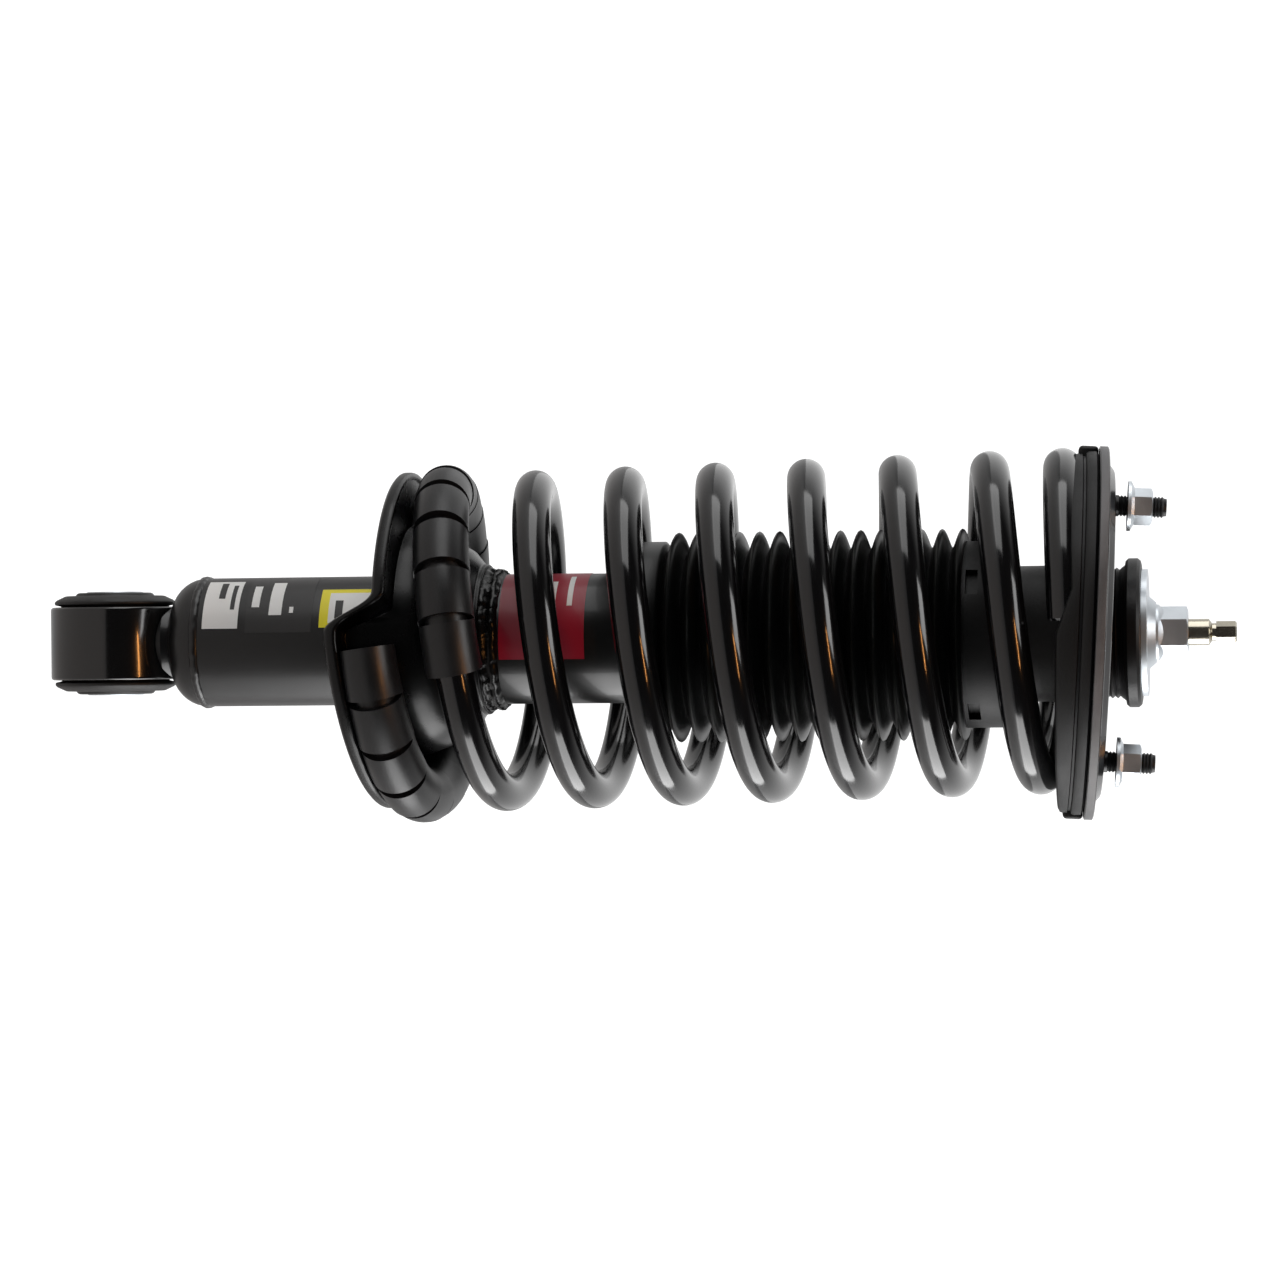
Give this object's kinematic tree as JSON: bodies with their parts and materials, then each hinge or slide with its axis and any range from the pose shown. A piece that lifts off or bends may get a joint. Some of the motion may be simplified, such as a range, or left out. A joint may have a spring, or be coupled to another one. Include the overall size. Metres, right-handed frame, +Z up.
{
  "type": "coil-over strut",
  "caption": "Suspension strut: telescopic damper with a lower eye, inside a coil spring held between a welded seat and a studded top plate.",
  "frame": {"origin": "centre of the lower eye's bolt bore", "axes": "+Z up the piston rod to the upper mount, +X along the lower eye's bolt"},
  "size_m": [0.1412, 0.141, 0.4602],
  "materials": {
    "eye_paint": "gloss black paint",
    "tube_paint": "satin black paint",
    "seat_coat": "gloss black dip coat",
    "spring_paint": "gloss black powder coat",
    "sleeve_plastic": "satin dark grey",
    "boot_rubber": "satin black",
    "mount_rubber": "matt black",
    "isolator_rubber": "matt dark grey",
    "bush_rubber": "matt black",
    "plate_coat": "black dip coat",
    "holder_plastic": "satin dark grey",
    "zinc": "bright blue zinc plate",
    "stud_coat": "black phosphate",
    "steel": "plain turned steel",
    "rod_chrome": "hard chrome, polished",
    "sintered": "sintered, plain",
    "guide_metal": "sintered alloy, plain",
    "bearing": "bronze bush",
    "band_plastic": "filled fluoroplastic",
    "seal_rubber": "nitrile",
    "foam": "microcellular foam"
  },
  "bodies": {
    "mount_side": {"coil_spring": "spring_paint", "spring_isolator": "isolator_rubber", "mount_plate": "plate_coat", "mount_studs": "stud_coat", "stud_washers": "zinc", "stud_nuts": "zinc", "mount_rubber": "mount_rubber", "mount_inner_sleeve": "steel", "lower_mount_washer": "steel", "upper_mount_washer": "zinc", "rod_nut": "zinc", "piston_rod": "rod_chrome", "piston": "sintered", "piston_band": "band_plastic", "piston_shims": "steel", "piston_nut": "steel", "rebound_stop": "seal_rubber", "bump_stop": "foam", "dust_boot": "boot_rubber", "boot_holder": "holder_plastic"},
    "tube_side": {"lower_eye_ring": "eye_paint", "lower_bush_rubber": "bush_rubber", "base_cup": "tube_paint", "eye_weld": "tube_paint", "base_weld": "tube_paint", "reserve_tube": "tube_paint", "foot_valve": "sintered", "pressure_tube": "steel", "rod_guide": "guide_metal", "guide_bush": "bearing", "oil_seal": "seal_rubber", "striker_cap": "band_plastic", "lower_spring_seat": "seat_coat", "seat_weld": "seat_coat", "spring_sleeve": "sleeve_plastic"},
    "bush_sleeve": {"lower_bush_sleeve": "zinc"}
  },
  "joints": [
    {"name": "strut_travel", "type": "slide", "parent": "mount_side", "child": "tube_side", "axis": [0, 0, 1], "range_m": [0, 0.09], "stiffness_N_per_m": 30000, "springref_m": -0.001, "deforming": ["coil_spring", "dust_boot"]},
    {"name": "bush_twist", "type": "hinge", "parent": "tube_side", "child": "bush_sleeve", "pos_m": [0, 0, 0], "axis": [1, 0, 0], "range_deg": [-12, 12], "stiffness_Nm_per_rad": 60}
  ]
}
